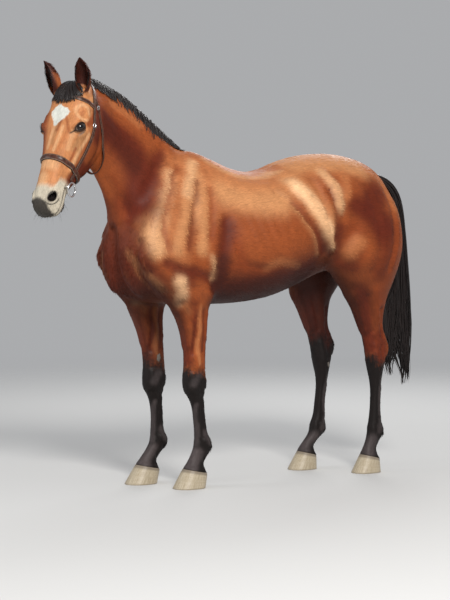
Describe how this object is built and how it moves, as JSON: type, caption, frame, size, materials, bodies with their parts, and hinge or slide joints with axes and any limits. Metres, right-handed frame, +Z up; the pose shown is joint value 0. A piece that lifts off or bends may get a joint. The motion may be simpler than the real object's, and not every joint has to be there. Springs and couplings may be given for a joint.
{
  "type": "standing bay horse with bridle",
  "caption": "Life-size bay riding horse standing square and still, head turned slightly to its left, wearing a plain leather bridle without reins.",
  "frame": {"origin": "on the floor under the middle of the bounding box", "axes": "+Z up, the horse faces -X, its left side is -Y"},
  "size_m": [2.3218, 0.604, 2.0287],
  "materials": {
    "bay_coat": "short glossy bay hair",
    "face_coat": "short fine hair, paler bay, white star and grey muzzle",
    "black_coat": "short black hair with a sheen",
    "ear_coat": "fine dark hair",
    "black_hair": "long black hair",
    "hoof_horn": "pale ringed horn",
    "eye": "wet and glossy, dark brown",
    "leather": "dark brown bridle leather",
    "steel": "polished"
  },
  "bodies": {
    "root": {"bit_ring_left": "steel", "bit_ring_right": "steel", "browband": "leather", "cheekpiece_left": "leather", "cheekpiece_right": "leather", "crownpiece": "leather", "ear_left": "ear_coat", "ear_right": "ear_coat", "eye_left": "eye", "eye_right": "eye", "forehoof_left": "hoof_horn", "forehoof_right": "hoof_horn", "foreleg_lower_left": "black_coat", "foreleg_lower_right": "black_coat", "foreleg_upper_left": "bay_coat", "foreleg_upper_right": "bay_coat", "forelock": "black_hair", "head": "face_coat", "hindhoof_left": "hoof_horn", "hindhoof_right": "hoof_horn", "hindleg_lower_left": "black_coat", "hindleg_lower_right": "black_coat", "hindleg_upper_left": "bay_coat", "hindleg_upper_right": "bay_coat", "mane": "black_hair", "neck": "bay_coat", "noseband": "leather", "tail": "black_hair", "throatlatch": "leather", "trunk": "bay_coat"}
  },
  "joints": []
}
